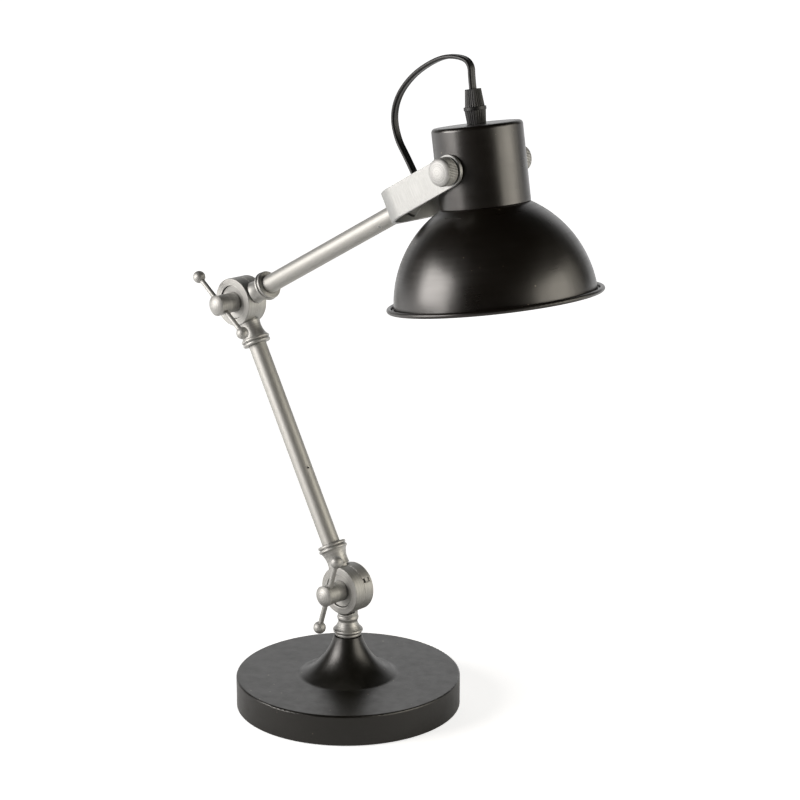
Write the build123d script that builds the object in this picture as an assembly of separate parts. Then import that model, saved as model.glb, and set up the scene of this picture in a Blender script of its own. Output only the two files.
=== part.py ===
"""Desk lamp: weighted round base, two clamped knuckles, forked arm and a domed shade.

The origin is under the middle of the base, Z is up, X points towards the head, and
every hinge axis lies along Y with the clamping keys on the -Y side.
"""

from build123d import *
import os
from math import cos, radians, sin, sqrt, tan

# Base
BASE_DIAMETER = 160.0
BASE_HEIGHT = 22.5
BASE_WALL = 3.0
BASE_EDGE_ROUND = 1.3
SKIRT_LIFT = 0.8
TRUMPET_HEIGHT = 28.8
TRUMPET_TOP_DIAMETER = 20.2
TRUMPET_FOOT_DIAMETER = 70.0
TRUMPET_HOLLOW = 4.6
TRUMPET_FOOT_ROUND = 5.0
TRUMPET_WALL = 9.0
STEM_SEAT_DEPTH = 9.2
PAD_THICKNESS = 2.1
WEIGHT_HOLE_DIAMETER = 54.0
INLET_HEIGHT = 10.0
INLET_FLANGE = 1.6

# Hollow threads, nuts and the way for the flex
THREAD_DIAMETER = 10.0
LEAD_BORE = 6.4
NUT_WIDTH = 14.0
STEM_NUT_HEIGHT = 5.0
GRIP_NUT_HEIGHT = 3.5
STEM_WASHER_STOCK = 1.2

# Collar on top of the trumpet
SEAT_RING_DIAMETER = 18.8
SEAT_RING_HEIGHT = 2.8
COLLAR_HEIGHT = 15.1
COLLAR_FOOT_DIAMETER = 19.0
COLLAR_FLARE_DIAMETER = 21.4
COLLAR_FLARE_ROUND = 1.4
COLLAR_WAIST_DIAMETER = 13.6
COLLAR_WAIST_HEIGHT = 8.2
COLLAR_LIP_DIAMETER = 15.3
COLLAR_LIP_WIDTH = 3.2
COLLAR_LIP_HEIGHT = 9.1
COLLAR_NECK_DIAMETER = 14.2
COLLAR_THREAD_DEPTH = 7.5

# Knuckles
DRUM_DIAMETER = 34.4
DRUM_WIDTH = 17.5
DRUM_EDGE_ROUND = 0.7
DRUM_WALL = 4.6
DRUM_FLOOR = 3.75
HUB_WALL = 3.95
SPIGOT_WALL = 1.35
SPIGOT_LENGTH = 1.6
SPLIT_GAP = 0.12
RECESS_DIAMETER = 24.2
RECESS_DEPTH = 2.3
RECESS_MARGIN = 0.45
STOP_PIN_DIAMETER = 2.4
STOP_PIN_REACH = 1.9
TENON_DIAMETER = 3.0
TENON_DEPTH = 3.1
SLOT_HEIGHT = 3.2
SLOT_BEARING = 30.5
SLOT_STEP = 3.0
SLOT_LENGTH = 6.4
SLOT_DEEP = 1.9
SLOT_SHALLOW = 0.7

# Clamping keys
SHANK_DIAMETER = 8.0
KEY_SPAN = 55.5
KEY_REACH = 11.3
KEY_BAR_DIAMETER = 3.7
KEY_BALL_DIAMETER = 8.9
KEY_BOSS_DIAMETER = 14.0
KEY_BOSS_MARGIN = 1.5
KEY_CAP_OVERHANG = 0.45
KEY_CAP_LIP = 0.9
KEY_CAP_RISE = 3.1
CUP_WASHER_STOCK = 0.6
CUP_WASHER_LIFT = 0.5

# Arms
TUBE_DIAMETER = 13.0
TUBE_WALL = 1.2
LOWER_ARM_LENGTH = 219.3
UPPER_ARM_LENGTH = 255.1
COUPLING_LENGTH = 16.4
SOCKET_DEPTH = 9.0
COUPLING_NECK_WALL = 1.4
COUPLING_WAIST_WALL = 1.05
COUPLING_FLARE_WALL = 3.0
LARGE_RING_WALL = 4.0
SMALL_RING_WALL = 3.7
RING_WIDTH = 2.3
RING_SPACE = 0.35
VENT_DIAMETER = 1.6
VENT_PLACE = 89.7
VENT_TURN = 77.0
GRUB_DIAMETER = 2.5
GRUB_SETBACK = 25.5
GRUB_TURN = 38.0

# Yoke
YOKE_WIDTH = 20.4
YOKE_STOCK = 2.2
YOKE_REACH = 72.0
YOKE_BEND = 20.0
YOKE_NUT_HEIGHT = 2.0
STUD_GRIP = 12.0
PIVOT_DIAMETER = 6.0
PIVOT_BUSH_WALL = 1.5
PIVOT_BUSH_FLANGE = 2.2
PIVOT_BUSH_LENGTH = 8.0
THUMB_DIAMETER = 18.4
THUMB_BAND = 5.4
THUMB_KNURL_DEPTH = 0.4
THUMB_CAP_RISE = 5.6
THUMB_RIDGES = 56
THUMB_WASHER_STOCK = 0.6

# Shade
SHADE_NECK_DIAMETER = 58.8
SHADE_NECK_RISE = 26.3
SHADE_NECK_DROP = 25.7
SHADE_NECK_WALL = 1.4
SHADE_NECK_ROUND = 2.6
SHADE_NECK_FOOT_BEVEL = 0.6
DOME_DIAMETER = 131.8
DOME_HEIGHT = 59.0
DOME_BULGE = 8.7
DOME_SHEET = 1.2
RIM_FLARE = 4.8
RIM_ROLL_DIAMETER = 3.3
RIM_DROP = 1.8
HOLDER_DIAMETER = 38.8
HOLDER_SHOULDER = 5.5
HOLDER_OVERHANG = 6.0
SOCKET_BORE = 26.4
SOCKET_SHELL_WALL = 1.2
SOCKET_LENGTH = 25.0
CONTACT_DIAMETER = 7.4
CONTACT_HEIGHT = 2.4
SHADE_RING_WALL = 3.9
SHADE_RING_HEIGHT = 3.0

# Cord grip and flex
GRIP_DIAMETER = 14.6
GRIP_FOOT_DIAMETER = 12.1
GRIP_SHOULDER_DIAMETER = 13.8
GRIP_CAP_DIAMETER = 12.7
GRIP_TOP_DIAMETER = 10.4
GRIP_BODY_HEIGHT = 8.9
GRIP_FLANGE_HEIGHT = 2.1
GRIP_CAP_HEIGHT = 11.2
GRIP_RIBS = 30
GRIP_RIB_DEPTH = 0.3
GRIP_THREAD_LENGTH = 7.0
GRIP_LID = 3.0
FLEX_WIDTH = 5.8
FLEX_THICKNESS = 2.9
CORD_EXIT = 6.5
CORD_ENTRY = 7.2

# Resting pose, in degrees
LOWER_ARM_LEAN = 61.7
UPPER_ARM_LEAN = 28.5
SHADE_LEAN = 8.8
LOWER_KEY_ANGLE = 72.0
UPPER_KEY_ANGLE = 142.0

# Travel of the arm hinges about Y from the resting pose, in degrees
LOWER_TRAVEL = (-20.0, 35.0)
UPPER_TRAVEL = (-35.0, 30.0)
STOP_SLACK = 2.0
STOP_BEARING = 180.0

# Fits
RUN_FIT = 0.05
SIDE_GAP = 0.3
SADDLE_GAP = 1.4
EASY_GAP = 0.8

# Radii
base_radius = BASE_DIAMETER / 2
thread_radius = THREAD_DIAMETER / 2
lead_radius = LEAD_BORE / 2
drum_radius = DRUM_DIAMETER / 2
drum_half = DRUM_WIDTH / 2
cup_radius = drum_radius - DRUM_WALL
stop_circle = drum_radius - DRUM_WALL / 2
shank_radius = SHANK_DIAMETER / 2
spigot_radius = shank_radius + SPIGOT_WALL
hub_radius = shank_radius + HUB_WALL
boss_radius = KEY_BOSS_DIAMETER / 2
bar_radius = KEY_BAR_DIAMETER / 2
ball_radius = KEY_BALL_DIAMETER / 2
tube_radius = TUBE_DIAMETER / 2
tube_bore = tube_radius - TUBE_WALL
pivot_radius = PIVOT_DIAMETER / 2
bush_radius = pivot_radius + PIVOT_BUSH_WALL
thumb_radius = THUMB_DIAMETER / 2
neck_radius = SHADE_NECK_DIAMETER / 2
neck_inner = neck_radius - SHADE_NECK_WALL
dome_radius = DOME_DIAMETER / 2
holder_radius = HOLDER_DIAMETER / 2
socket_radius = SOCKET_BORE / 2
inlet_radius = lead_radius + INLET_FLANGE

# Heights and depths along each piece's own axis
trumpet_top = BASE_HEIGHT + TRUMPET_HEIGHT
stem_seat = trumpet_top - STEM_SEAT_DEPTH
base_ceiling = BASE_HEIGHT - BASE_WALL
seat_top = trumpet_top + SEAT_RING_HEIGHT
stem_top = seat_top + COLLAR_THREAD_DEPTH
stem_bottom = stem_seat - STEM_WASHER_STOCK - STEM_NUT_HEIGHT - EASY_GAP
split_half = SPLIT_GAP / 2
hub_face = SIDE_GAP
recess_floor = drum_half - RECESS_DEPTH
boss_seat = recess_floor + CUP_WASHER_STOCK + RUN_FIT
thread_end = drum_half - RECESS_DEPTH
key_height = drum_half + KEY_REACH
boss_top = key_height + bar_radius + KEY_BOSS_MARGIN
coupling_end = drum_radius + COUPLING_LENGTH
socket_seat = coupling_end - SOCKET_DEPTH
yoke_back = UPPER_ARM_LENGTH - YOKE_REACH
yoke_inside = yoke_back + YOKE_STOCK
stud_end = yoke_inside + YOKE_NUT_HEIGHT
grub_place = yoke_back - GRUB_SETBACK
arm_inside = neck_radius + SIDE_GAP
arm_outside = arm_inside + YOKE_STOCK
thumb_seat = arm_outside + RUN_FIT + THUMB_WASHER_STOCK
thumb_top = thumb_seat + THUMB_BAND
pivot_end = arm_inside - PIVOT_BUSH_LENGTH
neck_ceiling = SHADE_NECK_RISE - SHADE_NECK_WALL
holder_top = neck_ceiling - GRIP_NUT_HEIGHT
holder_bottom = -SHADE_NECK_DROP - HOLDER_OVERHANG
socket_floor = holder_bottom + SOCKET_LENGTH
contact_bottom = socket_floor - CONTACT_HEIGHT
shell_top = contact_bottom - EASY_GAP
grip_thread_top = SHADE_NECK_RISE + GRIP_THREAD_LENGTH
grip_flange = SHADE_NECK_RISE + GRIP_BODY_HEIGHT
grip_joint = grip_flange + GRIP_FLANGE_HEIGHT
grip_top = grip_joint + GRIP_CAP_HEIGHT
seat_radius = neck_radius - SIDE_GAP
dome_foot = -SHADE_NECK_DROP - DOME_HEIGHT

FROM_BELOW = (Align.CENTER, Align.CENTER, Align.MIN)
ABOUT_AXIS = (Align.NONE, Align.NONE, Align.MIN)


def bearing(angle):
    """Unit vector in the lamp's plane, measured from +X towards +Z."""
    return Vector(cos(radians(angle)), 0, sin(radians(angle)))


def arm_frame(origin, angle):
    """Plane whose local Z runs along a bearing and whose local Y is the lamp's Y."""
    along = bearing(angle)
    return Plane(origin=origin, x_dir=Vector(along.Z, 0, -along.X), z_dir=along)


def side_frame(origin, side, angle=0.0):
    """Plane whose local Z points to the +Y (side 1) or -Y (side -1) flank."""
    return Plane(origin=origin, x_dir=bearing(angle), z_dir=Vector(0, side, 0))


# Hinge centres and the frames that hang on them
lower_bearing = 180 - LOWER_ARM_LEAN
lower_knuckle = Vector(0, 0, seat_top + COLLAR_HEIGHT + drum_radius)
upper_knuckle = lower_knuckle + bearing(lower_bearing) * LOWER_ARM_LENGTH
shade_pivot = upper_knuckle + bearing(UPPER_ARM_LEAN) * UPPER_ARM_LENGTH
collar_frame = arm_frame(lower_knuckle, -90)
lower_frame = arm_frame(lower_knuckle, lower_bearing)
mid_frame = arm_frame(upper_knuckle, -LOWER_ARM_LEAN)
upper_frame = arm_frame(upper_knuckle, UPPER_ARM_LEAN)
shade_frame = arm_frame(shade_pivot, 90 + SHADE_LEAN)
lower_key_frame = side_frame(lower_knuckle, -1, LOWER_KEY_ANGLE)
upper_key_frame = side_frame(upper_knuckle, -1, UPPER_KEY_ANGLE)
inlet_frame = Plane(origin=(-base_radius, 0, INLET_HEIGHT), x_dir=(0, 1, 0), z_dir=(-1, 0, 0))


def profile(*corners):
    """Open line through (radius, height) corners in the XZ plane."""
    return Polyline(*[(radius, 0, height) for radius, height in corners])


def bulge(start, middle, end):
    """Circular arc through three (radius, height) points in the XZ plane."""
    return ThreePointArc(*[(radius, 0, height) for radius, height in (start, middle, end)])


def turned(*lines):
    """Solid of revolution about Z inside the outline that the lines make."""
    outline = Curve() + list(lines)
    start = lines[0] @ 0
    end = lines[-1] @ 1
    if (start - end).length > RUN_FIT / 10:
        outline = outline + Line(end, start)
    return revolve(make_face(outline.edges()), Axis.Z)


def rod(radius, bottom, top):
    """Cylinder about Z between two heights."""
    return Pos(0, 0, bottom) * Cylinder(radius, top - bottom, align=FROM_BELOW)


def sleeve(outer, inner, bottom, top):
    """Hollow cylinder about Z between two heights."""
    return rod(outer, bottom, top) - rod(inner, bottom, top)


def cross_rod(radius, length, height):
    """Cylinder along local X, centred on the axis at a height."""
    return Pos(0, 0, height) * Rot(0, 90, 0) * Cylinder(radius, length)


def side_rod(radius, length, height):
    """Cylinder along local Y, centred on the axis at a height."""
    return Pos(0, 0, height) * Rot(90, 0, 0) * Cylinder(radius, length)


def cap_arc(radius, height, rise):
    """Shallow dome outline from (radius, height) up to the axis."""
    ball = (radius**2 + rise**2) / (2 * rise)
    centre = height + rise - ball
    middle = radius / 2
    return bulge(
        (radius, height), (middle, centre + sqrt(ball**2 - middle**2)), (0, height + rise)
    )


def quarter_round(radius, height, size):
    """Convex corner outline that ends on the inside at (radius - size, height)."""
    soft = size * (1 - sqrt(0.5))
    return bulge(
        (radius, height - size), (radius - soft, height - soft), (radius - size, height)
    )


def ring_bulge(inner, outer, bottom, width):
    """Round edge of a turned ring."""
    return bulge((inner, bottom), (outer, bottom + width / 2), (inner, bottom + width))


def fluted(bottom_radius, top_radius, bottom, top, flutes, depth):
    """Ribbed and tapered plug with V-shaped flutes."""

    def star(radius, height):
        corners = []
        for step in range(2 * flutes):
            reach = radius - depth * (step % 2)
            turn = radians(180 * step / flutes)
            corners.append((reach * cos(turn), reach * sin(turn), height))
        return make_face(Polyline(*corners, close=True).edges())

    return loft([star(bottom_radius, bottom), star(top_radius, top)], ruled=True)


def hexagon_nut(bottom, height):
    """Hexagon nut with a plain threaded hole."""
    blank = extrude(RegularPolygon(NUT_WIDTH / 2, 6, major_radius=False), height)
    return Pos(0, 0, bottom) * blank - rod(thread_radius, bottom, bottom + height)


def make_base_shell():
    """Cast plate with a straight skirt and a trumpet that blends into its top."""
    top = Vector(TRUMPET_TOP_DIAMETER / 2, 0, trumpet_top)
    foot = Vector(TRUMPET_FOOT_DIAMETER / 2, 0, BASE_HEIGHT)
    edge = Vector(base_radius, 0, BASE_HEIGHT)
    flank = foot - top
    inward = Vector(flank.Z, 0, -flank.X).normalized()
    middle = (top + foot) / 2 + inward * TRUMPET_HOLLOW
    rest = Polyline(
        foot, edge, (base_radius, 0, SKIRT_LIFT), (0, 0, SKIRT_LIFT), (0, 0, trumpet_top), top
    )
    face = make_face((ThreePointArc(top, middle, foot) + rest).edges())
    face = fillet(face.vertices().sort_by_distance(foot)[0], TRUMPET_FOOT_ROUND)
    face = fillet(face.vertices().sort_by_distance(edge)[0], BASE_EDGE_ROUND)
    shell = revolve(face, Axis.Z)
    shell -= rod(base_radius - BASE_WALL, 0, base_ceiling)
    shell -= Pos(0, 0, base_ceiling) * Cone(
        TRUMPET_FOOT_DIAMETER / 2 - TRUMPET_WALL,
        TRUMPET_TOP_DIAMETER / 2 - SIDE_GAP,
        stem_seat - base_ceiling,
        align=FROM_BELOW,
    )
    shell -= rod(thread_radius, stem_seat, trumpet_top)
    return shell - inlet_frame * rod(inlet_radius, -2 * BASE_WALL, BASE_WALL)


def make_base_weight():
    """Iron ring under the plate, with a channel for the lead."""
    outer = base_radius - BASE_WALL - SIDE_GAP
    weight = sleeve(outer, WEIGHT_HOLE_DIAMETER / 2, PAD_THICKNESS, base_ceiling)
    depth = INLET_HEIGHT + inlet_radius + EASY_GAP - PAD_THICKNESS
    channel = Box(
        base_radius,
        2 * (inlet_radius + EASY_GAP),
        depth,
        align=(Align.MAX, Align.CENTER, Align.MIN),
    )
    return weight - Pos(0, 0, PAD_THICKNESS) * channel


def make_inlet_bushing():
    """Flanged bushing that lines the lead's hole in the skirt."""
    barrel = rod(inlet_radius, -BASE_WALL - EASY_GAP, 0)
    flange = rod(inlet_radius + INLET_FLANGE, -BASE_WALL / 2, INLET_FLANGE)
    skirt = rod(base_radius, 0, BASE_HEIGHT)
    bushing = inlet_frame * barrel + (inlet_frame * flange - skirt)
    return bushing - inlet_frame * rod(lead_radius, -2 * BASE_WALL, BASE_WALL)


def make_seat_ring():
    """Round-edged ring between the trumpet and the collar."""
    outer = SEAT_RING_DIAMETER / 2
    inner = outer - SEAT_RING_HEIGHT / 4
    return turned(
        profile((thread_radius, trumpet_top), (inner, trumpet_top)),
        ring_bulge(inner, outer, trumpet_top, SEAT_RING_HEIGHT),
        profile((inner, seat_top), (thread_radius, seat_top)),
    )


def make_collar_blank():
    """Turned collar before its saddle is cut: foot, flare, waist and lip."""
    foot = COLLAR_FOOT_DIAMETER / 2
    crest = COLLAR_FLARE_DIAMETER / 2
    waist = COLLAR_WAIST_DIAMETER / 2
    lip = COLLAR_LIP_DIAMETER / 2
    neck = COLLAR_NECK_DIAMETER / 2
    crest_height = seat_top + COLLAR_FLARE_ROUND
    flare = (foot, crest_height + COLLAR_FLARE_ROUND)
    waist_height = seat_top + COLLAR_WAIST_HEIGHT
    shoulder = ((foot + 2 * waist) / 3, (flare[1] + waist_height) / 2)
    lip_bottom = seat_top + COLLAR_LIP_HEIGHT
    lip_top = lip_bottom + COLLAR_LIP_WIDTH
    top = lower_knuckle.Z
    return turned(
        profile((thread_radius, seat_top), (foot, seat_top)),
        bulge((foot, seat_top), (crest, crest_height), flare),
        bulge(flare, shoulder, (waist, waist_height)),
        profile((waist, waist_height), (neck, lip_bottom)),
        bulge((neck, lip_bottom), (lip, (lip_bottom + lip_top) / 2), (neck, lip_top)),
        profile((neck, lip_top), (neck, top), (lead_radius, top), (lead_radius, stem_top)),
        profile((lead_radius, stem_top), (thread_radius, stem_top)),
    )


def make_coupling_blank():
    """Bell coupling before its saddle is cut; local Z points away from the knuckle."""
    neck = tube_radius + COUPLING_NECK_WALL
    waist = tube_radius + COUPLING_WAIST_WALL
    flare = tube_radius + COUPLING_FLARE_WALL
    large = tube_radius + LARGE_RING_WALL
    small = tube_radius + SMALL_RING_WALL
    small_ring = coupling_end - RING_WIDTH
    large_ring = small_ring - RING_SPACE - RING_WIDTH
    bell = large_ring - drum_radius
    return turned(
        profile((lead_radius, 0), (neck, 0), (neck, drum_radius)),
        bulge((neck, drum_radius), (waist, drum_radius + 0.45 * bell), (flare, large_ring)),
        ring_bulge(flare, large, large_ring, RING_WIDTH),
        profile((flare, large_ring + RING_WIDTH), (flare, small_ring)),
        ring_bulge(flare, small, small_ring, RING_WIDTH),
        profile((flare, coupling_end), (tube_radius, coupling_end), (tube_radius, socket_seat)),
        profile((tube_radius, socket_seat), (lead_radius, socket_seat)),
    )


def saddled(blank, knuckle, side):
    """Seat a neck on one half of a drum and clear the half that turns under it."""
    own = side_frame(knuckle, side) * rod(drum_radius, 0, BASE_DIAMETER)
    other = side_frame(knuckle, -side) * rod(drum_radius + SADDLE_GAP, 0, BASE_DIAMETER)
    return blank - own - other


def make_tenon(frame, side):
    """Dowel that ties a neck to its own half of the drum, beside the flex."""
    radius = TENON_DIAMETER / 2
    offset = side * (lead_radius + SIDE_GAP + radius)
    return frame * Pos(0, offset, 0) * rod(radius, drum_radius - TENON_DEPTH, drum_radius + EASY_GAP)


def lead_hole(frame):
    """Way for the flex from a neck into the hollow of the drum."""
    return frame * rod(lead_radius, hub_radius, drum_radius + EASY_GAP)


def make_cup():
    """Half drum with a hollow ring for the flex; local Z points away from the split."""
    edge = drum_half - DRUM_EDGE_ROUND
    cup = turned(
        profile(
            (0, split_half),
            (drum_radius - split_half, split_half),
            (drum_radius, 2 * split_half),
            (drum_radius, edge),
        ),
        quarter_round(drum_radius, drum_half, DRUM_EDGE_ROUND),
        profile((drum_radius - DRUM_EDGE_ROUND, drum_half), (0, drum_half)),
    )
    cup -= sleeve(cup_radius, hub_radius, 0, drum_half - DRUM_FLOOR)
    return cup - rod(hub_radius, 0, hub_face)


def stop_groove(start, stop):
    """Cutter for the arc groove that the stop pin runs in, between two angles."""
    half = STOP_PIN_DIAMETER / 2 + SIDE_GAP
    depth = STOP_PIN_REACH + EASY_GAP
    ring = Cylinder(stop_circle + half, depth, arc_size=stop - start, align=ABOUT_AXIS)
    ring -= rod(stop_circle - half, 0, depth)
    groove = Rot(0, 0, start) * ring
    for angle in (start, stop):
        groove += Rot(0, 0, angle) * Pos(stop_circle, 0, 0) * rod(half, 0, depth)
    return groove


def make_rear_cheek(knuckle, travel):
    """Threaded half of a knuckle, with the spigot that the other half turns on."""
    start = STOP_BEARING + travel[0] - STOP_SLACK
    stop = STOP_BEARING + travel[1] + STOP_SLACK
    cheek = make_cup() + rod(spigot_radius, -SPIGOT_LENGTH, hub_face)
    cheek -= rod(shank_radius + RUN_FIT, -SPIGOT_LENGTH, thread_end)
    return side_frame(knuckle, 1) * (cheek - stop_groove(start, stop))


def stop_pin(bottom):
    """Pin along local Z from a depth up to the middle of a half drum."""
    top = drum_half / 2
    return Rot(0, 0, STOP_BEARING) * Pos(stop_circle, 0, 0) * rod(STOP_PIN_DIAMETER / 2, bottom, top)


def make_front_cheek(knuckle):
    """Plain half of a knuckle, with the recess under the key."""
    cheek = make_cup()
    cheek -= rod(spigot_radius + RUN_FIT, 0, SPIGOT_LENGTH + SIDE_GAP)
    cheek -= rod(shank_radius + RUN_FIT, 0, drum_half)
    cheek -= rod(RECESS_DIAMETER / 2, recess_floor, drum_half)
    return side_frame(knuckle, -1) * (cheek - stop_pin(0))


def make_friction_washer(knuckle):
    """Fibre washer between the two hubs, lying on the front one."""
    bottom = RUN_FIT - hub_face
    ring = sleeve(hub_radius - SIDE_GAP, spigot_radius + 2 * RUN_FIT, bottom, hub_face)
    return side_frame(knuckle, -1) * ring


def make_cup_washer(knuckle):
    """Dished washer in the recess of the front half."""
    inner = shank_radius + 2 * RUN_FIT
    bend = boss_radius + SIDE_GAP
    edge = RECESS_DIAMETER / 2 - RECESS_MARGIN
    ring = turned(
        profile(
            (inner, recess_floor),
            (bend, recess_floor),
            (edge, recess_floor + CUP_WASHER_LIFT),
            (edge, recess_floor + CUP_WASHER_LIFT + CUP_WASHER_STOCK),
            (bend, recess_floor + CUP_WASHER_STOCK),
            (inner, recess_floor + CUP_WASHER_STOCK),
        )
    )
    return side_frame(knuckle, -1) * ring


def make_key_bolt(frame):
    """Clamping bolt with a round boss, a cross hole and a domed end."""
    cap_radius = boss_radius + KEY_CAP_OVERHANG
    cap_bottom = boss_top + KEY_CAP_OVERHANG
    cap_top = boss_top + KEY_CAP_LIP
    end = EASY_GAP - thread_end
    bolt = turned(
        profile(
            (0, end),
            (shank_radius, end),
            (shank_radius, boss_seat),
            (boss_radius, boss_seat),
            (boss_radius, boss_top),
            (cap_radius, cap_bottom),
            (cap_radius, cap_top),
        ),
        cap_arc(cap_radius, cap_top, KEY_CAP_RISE),
    )
    return frame * (bolt - cross_rod(bar_radius, KEY_SPAN, key_height))


def make_key_bar(frame):
    """Cross bar of a key, with its ends inside the balls."""
    return frame * cross_rod(bar_radius, KEY_SPAN - ball_radius, key_height)


def make_key_ball(frame, end):
    """Ball on one end of a key's bar, drilled for the bar."""
    ball = Pos(end * KEY_SPAN / 2, 0, key_height) * Sphere(ball_radius)
    return frame * (ball - cross_rod(bar_radius, KEY_SPAN - ball_radius, key_height))


def index_slot(depth, start, stop):
    """Cutter for the index slot on the lower drum, between two places along Y."""
    block = Box(SLOT_HEIGHT, stop - start, 2 * depth)
    return arm_frame(lower_knuckle, SLOT_BEARING) * Pos(0, (start + stop) / 2, drum_radius) * block


def grub_way(top):
    """Radial rod through the wall of the upper tube into the stud."""
    depth = lead_radius + EASY_GAP
    place = Pos(0, 0, grub_place) * Rot(0, 0, GRUB_TURN) * Rot(90, 0, 0)
    return upper_frame * place * rod(GRUB_DIAMETER / 2, depth, top)


def make_lower_tube():
    """Lower arm tube with its small vent hole."""
    tube = sleeve(tube_radius, tube_bore, socket_seat, LOWER_ARM_LENGTH - socket_seat)
    vent = Pos(0, 0, VENT_PLACE) * Rot(0, 0, VENT_TURN) * Rot(90, 0, 0)
    return lower_frame * (tube - vent * rod(VENT_DIAMETER / 2, 0, TUBE_DIAMETER))


def make_upper_tube():
    """Upper arm tube, drilled for the grub screw."""
    return upper_frame * sleeve(tube_radius, tube_bore, socket_seat, yoke_back) - grub_way(TUBE_DIAMETER)


def make_yoke():
    """Flat bar bent to a fork with rounded ends."""

    def fork(half_width, back, bend):
        length = UPPER_ARM_LENGTH + YOKE_WIDTH - back
        outline = Rectangle(2 * half_width, length, align=(Align.CENTER, Align.MIN))
        outline = fillet(outline.vertices().group_by(Axis.Y)[0], bend)
        return Plane.YZ * Pos(0, back, 0) * extrude(outline, YOKE_WIDTH / 2, both=True)

    span = 2 * arm_outside + YOKE_WIDTH
    bar = fork(arm_outside, yoke_back, YOKE_BEND)
    bar -= fork(arm_inside, yoke_inside, YOKE_BEND - YOKE_STOCK)
    straight = Pos(0, 0, yoke_back) * Box(YOKE_WIDTH, span, YOKE_REACH, align=FROM_BELOW)
    bar = bar & (straight + side_rod(YOKE_WIDTH / 2, span, UPPER_ARM_LENGTH))
    bar -= side_rod(pivot_radius + RUN_FIT, span, UPPER_ARM_LENGTH)
    return upper_frame * (bar - rod(thread_radius, yoke_back, yoke_inside))


def make_yoke_stud():
    """Hollow stud that holds the yoke on the end of the upper tube."""
    stud = rod(tube_bore, grub_place - STUD_GRIP, yoke_back)
    stud += rod(thread_radius, yoke_back, stud_end)
    stud -= rod(lead_radius, grub_place - STUD_GRIP, stud_end)
    return upper_frame * stud - grub_way(TUBE_DIAMETER)


def make_pivot_bush(side):
    """Threaded bush in the wall of the shade's neck."""
    barrel = rod(bush_radius, pivot_end, arm_inside - SIDE_GAP / 2)
    flange = rod(bush_radius + PIVOT_BUSH_FLANGE, pivot_end, neck_radius)
    flange = flange & side_rod(neck_inner, SHADE_NECK_DIAMETER, 0)
    bush = barrel + flange - rod(pivot_radius + RUN_FIT, 0, neck_radius + SIDE_GAP)
    return side_frame(shade_pivot, side, SHADE_LEAN) * bush


def make_thumb_washer(side):
    """Plain washer under a thumb screw's head."""
    ring = sleeve(thumb_radius - EASY_GAP, pivot_radius, thumb_seat - THUMB_WASHER_STOCK, thumb_seat)
    return side_frame(shade_pivot, side) * ring


def make_thumb_screw(side):
    """Domed thumb screw with a knurled band between two smooth ones."""
    smooth = thumb_radius - THUMB_KNURL_DEPTH
    screw = turned(
        profile(
            (0, pivot_end),
            (pivot_radius, pivot_end),
            (pivot_radius, thumb_seat),
            (smooth, thumb_seat),
            (smooth, thumb_top),
        ),
        cap_arc(smooth, thumb_top, THUMB_CAP_RISE),
    )
    knurl_top = thumb_top - 2 * EASY_GAP
    knurl = fluted(
        thumb_radius, thumb_radius, thumb_seat + EASY_GAP, knurl_top, THUMB_RIDGES, THUMB_KNURL_DEPTH
    )
    return side_frame(shade_pivot, side) * (screw + knurl)


def make_shade_neck():
    """Cylindrical cup above the dome, with its rounded top edge."""
    bevel = SHADE_NECK_FOOT_BEVEL
    neck = turned(
        profile(
            (0, neck_ceiling),
            (neck_inner, neck_ceiling),
            (neck_inner, -SHADE_NECK_DROP),
            (neck_radius - bevel, -SHADE_NECK_DROP),
            (neck_radius, bevel - SHADE_NECK_DROP),
            (neck_radius, SHADE_NECK_RISE - SHADE_NECK_ROUND),
        ),
        quarter_round(neck_radius, SHADE_NECK_RISE, SHADE_NECK_ROUND),
        profile((neck_radius - SHADE_NECK_ROUND, SHADE_NECK_RISE), (0, SHADE_NECK_RISE)),
    )
    neck -= rod(thread_radius, 0, SHADE_NECK_RISE)
    return shade_frame * (neck - side_rod(bush_radius, 2 * SHADE_NECK_DIAMETER, 0))


def dome_arc(inset, start, stop):
    """Dome outline between two heights, set in from the outside by a thickness."""
    seat = Vector(seat_radius, 0, -SHADE_NECK_DROP)
    foot = Vector(dome_radius, 0, dome_foot)
    chord = foot - seat
    outward = Vector(-chord.Z, 0, chord.X).normalized()
    swing = (chord.length**2 / 4 + DOME_BULGE**2) / (2 * DOME_BULGE)
    centre = (seat + foot) / 2 - outward * (swing - DOME_BULGE)
    reach = swing - inset
    middle = centre + outward * reach

    def at(height):
        return (centre.X + sqrt(reach**2 - (height - centre.Z) ** 2), height)

    return bulge(at(start), (middle.X, middle.Z), at(stop))


def make_shade_dome():
    """Spun dome with a flat seat for the neck and an outward rolled rim."""
    seat = -SHADE_NECK_DROP
    under = seat - DOME_SHEET
    ledge = dome_foot - RIM_DROP
    roll = RIM_ROLL_DIAMETER / 2
    roll_circle = dome_radius + RIM_FLARE - roll
    hole = holder_radius + SIDE_GAP
    outside = dome_arc(0, seat, dome_foot)
    inside = dome_arc(DOME_SHEET, dome_foot, under)
    skin = (inside @ 0).X
    shoulder = (inside @ 1).X
    shell = turned(
        profile((hole, seat), (seat_radius, seat)),
        outside,
        profile(
            (dome_radius, dome_foot),
            (dome_radius, ledge),
            (roll_circle, ledge),
            (roll_circle, ledge - DOME_SHEET),
            (skin, ledge - DOME_SHEET),
            (skin, dome_foot),
        ),
        inside,
        profile((shoulder, under), (hole, under)),
    )
    shell += Pos(0, 0, ledge - DOME_SHEET + roll) * Torus(roll_circle, roll)
    return shade_frame * shell


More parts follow.
